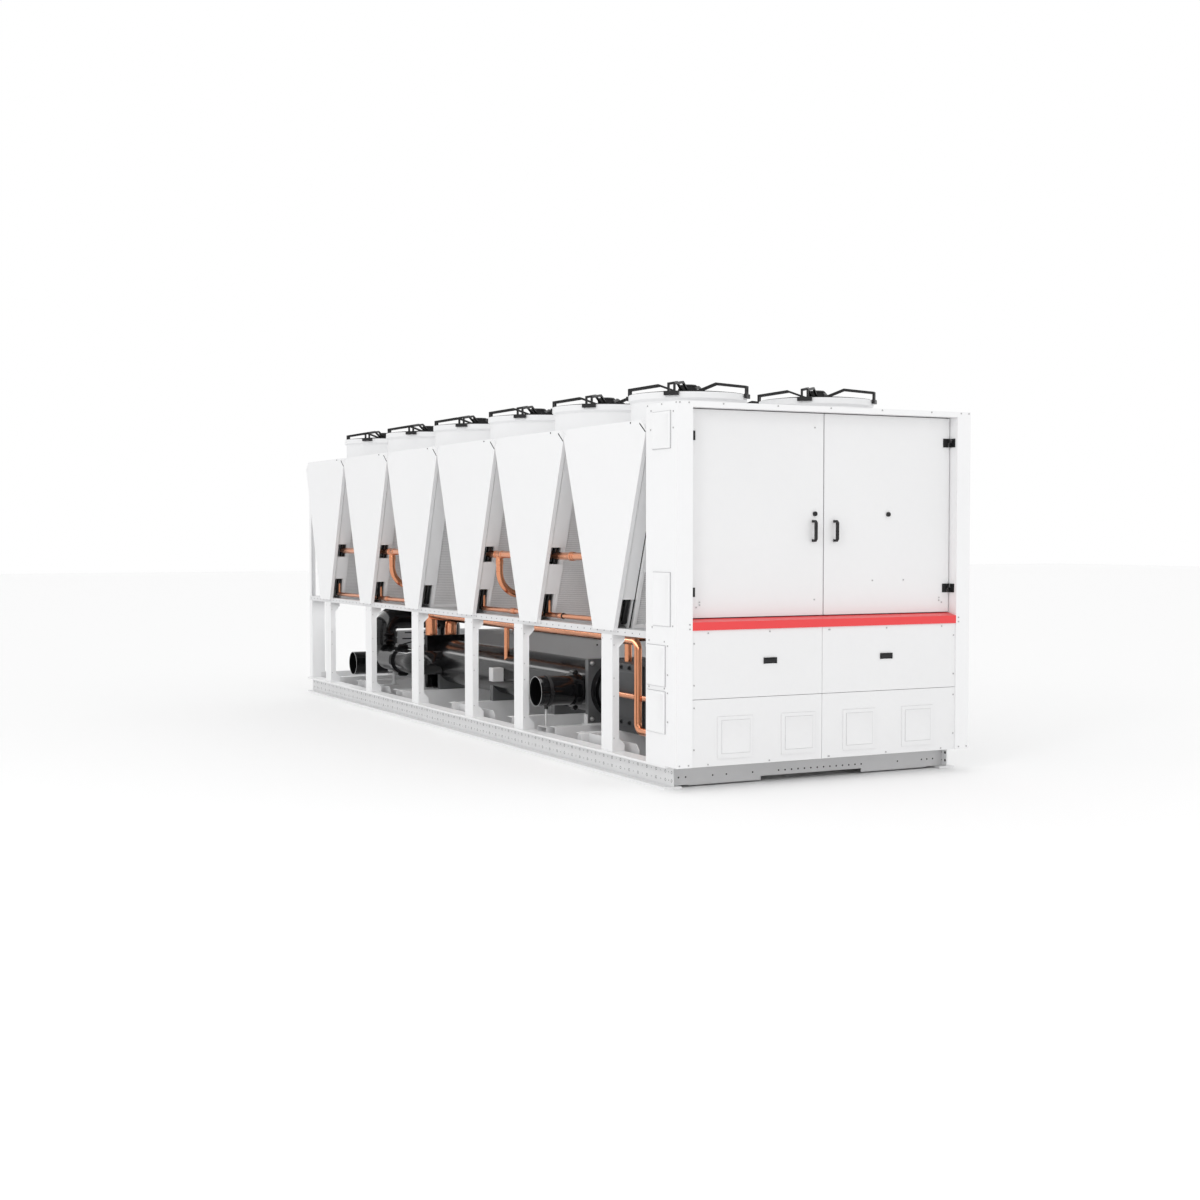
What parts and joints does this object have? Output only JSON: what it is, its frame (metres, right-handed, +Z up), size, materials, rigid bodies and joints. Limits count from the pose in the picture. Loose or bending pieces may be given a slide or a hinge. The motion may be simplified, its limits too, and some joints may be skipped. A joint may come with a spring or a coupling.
{
  "type": "air cooled water chiller",
  "caption": "Long air cooled water chiller: V-shaped coil modules under roof fans, a piped machine bay on a steel base and an electrical cabinet at one end.",
  "frame": {"origin": "middle of the base's footprint, on the floor", "axes": "+X along the length to the electrical cabinet, +Y across to the side without water connections, +Z up"},
  "size_m": [7.6, 2.26, 2.611],
  "materials": {
    "white_paint": "satin",
    "light_grey_paint": "satin",
    "mid_grey_paint": "satin",
    "red_paint": "satin",
    "black_plastic": "matte",
    "black_insulation": "gloss",
    "copper_pipe": "satin",
    "coil_aluminium": "matte",
    "dark_iron": "satin"
  },
  "bodies": {
    "root": {"base_rails": "light_grey_paint", "base_cross_members": "light_grey_paint", "front_end_plate": "mid_grey_paint", "posts": "white_paint", "rear_columns": "white_paint", "mid_rails": "white_paint", "coil_beams": "light_grey_paint", "condenser_coils": "coil_aluminium", "header_covers": "light_grey_paint", "side_panels": "white_paint", "fan_deck": "white_paint", "near_fan_rings": "white_paint", "far_fan_rings": "white_paint", "fan_motors": "black_plastic", "fan_supports": "black_plastic", "cabinet_sides": "white_paint", "cabinet_back": "white_paint", "cabinet_floor": "white_paint", "cabinet_roof": "white_paint", "cabinet_sill": "red_paint", "lower_panels": "white_paint", "cable_entry_covers": "white_paint", "panel_pulls": "black_plastic", "frame_hinges": "black_plastic", "evaporator_shell": "black_insulation", "evaporator_ends": "mid_grey_paint", "evaporator_heads": "black_insulation", "head_cover": "dark_iron", "evaporator_feet": "light_grey_paint", "water_pipes": "black_insulation", "water_connections": "black_insulation", "pipe_couplings": "black_insulation", "pipe_clamp": "black_plastic", "pipe_support": "light_grey_paint", "compressors": "dark_iron", "compressor_enclosure": "light_grey_paint", "rear_service_box": "mid_grey_paint", "gas_pipes": "copper_pipe", "compressor_pipes": "copper_pipe", "liquid_pipes": "copper_pipe", "junction_box": "light_grey_paint"},
    "door_left": {"door_left": "white_paint", "door_left_fittings": "black_plastic"},
    "door_right": {"door_right": "white_paint", "door_right_fittings": "black_plastic"},
    "fan_rotor_1": {"fan_rotor_1": "black_plastic"},
    "fan_rotor_2": {"fan_rotor_2": "black_plastic"},
    "fan_rotor_3": {"fan_rotor_3": "black_plastic"},
    "fan_rotor_4": {"fan_rotor_4": "black_plastic"},
    "fan_rotor_5": {"fan_rotor_5": "black_plastic"},
    "fan_rotor_6": {"fan_rotor_6": "black_plastic"},
    "fan_rotor_7": {"fan_rotor_7": "black_plastic"},
    "fan_rotor_8": {"fan_rotor_8": "black_plastic"},
    "fan_rotor_9": {"fan_rotor_9": "black_plastic"},
    "fan_rotor_10": {"fan_rotor_10": "black_plastic"},
    "fan_rotor_11": {"fan_rotor_11": "black_plastic"},
    "fan_rotor_12": {"fan_rotor_12": "black_plastic"}
  },
  "joints": [
    {"name": "door_left_hinge", "type": "hinge", "parent": "root", "child": "door_left", "pos_m": [3.7305, -1.008, 1.72], "axis": [0, 0, -1], "range_deg": [0, 90]},
    {"name": "door_right_hinge", "type": "hinge", "parent": "root", "child": "door_right", "pos_m": [3.7305, 1.008, 1.72], "axis": [0, 0, 1], "range_deg": [0, 90]},
    {"name": "fan_rotor_1_spin", "type": "hinge", "parent": "root", "child": "fan_rotor_1", "pos_m": [-3.135, -0.52, 2.42], "axis": [0, 0, 1], "continuous": true},
    {"name": "fan_rotor_2_spin", "type": "hinge", "parent": "root", "child": "fan_rotor_2", "pos_m": [-1.935, -0.52, 2.42], "axis": [0, 0, 1], "continuous": true},
    {"name": "fan_rotor_3_spin", "type": "hinge", "parent": "root", "child": "fan_rotor_3", "pos_m": [-0.735, -0.52, 2.42], "axis": [0, 0, 1], "continuous": true},
    {"name": "fan_rotor_4_spin", "type": "hinge", "parent": "root", "child": "fan_rotor_4", "pos_m": [0.465, -0.52, 2.42], "axis": [0, 0, 1], "continuous": true},
    {"name": "fan_rotor_5_spin", "type": "hinge", "parent": "root", "child": "fan_rotor_5", "pos_m": [1.665, -0.52, 2.42], "axis": [0, 0, 1], "continuous": true},
    {"name": "fan_rotor_6_spin", "type": "hinge", "parent": "root", "child": "fan_rotor_6", "pos_m": [2.865, -0.52, 2.42], "axis": [0, 0, 1], "continuous": true},
    {"name": "fan_rotor_7_spin", "type": "hinge", "parent": "root", "child": "fan_rotor_7", "pos_m": [-3.135, 0.52, 2.42], "axis": [0, 0, 1], "continuous": true},
    {"name": "fan_rotor_8_spin", "type": "hinge", "parent": "root", "child": "fan_rotor_8", "pos_m": [-1.935, 0.52, 2.42], "axis": [0, 0, 1], "continuous": true},
    {"name": "fan_rotor_9_spin", "type": "hinge", "parent": "root", "child": "fan_rotor_9", "pos_m": [-0.735, 0.52, 2.42], "axis": [0, 0, 1], "continuous": true},
    {"name": "fan_rotor_10_spin", "type": "hinge", "parent": "root", "child": "fan_rotor_10", "pos_m": [0.465, 0.52, 2.42], "axis": [0, 0, 1], "continuous": true},
    {"name": "fan_rotor_11_spin", "type": "hinge", "parent": "root", "child": "fan_rotor_11", "pos_m": [1.665, 0.52, 2.42], "axis": [0, 0, 1], "continuous": true},
    {"name": "fan_rotor_12_spin", "type": "hinge", "parent": "root", "child": "fan_rotor_12", "pos_m": [2.865, 0.52, 2.42], "axis": [0, 0, 1], "continuous": true}
  ]
}
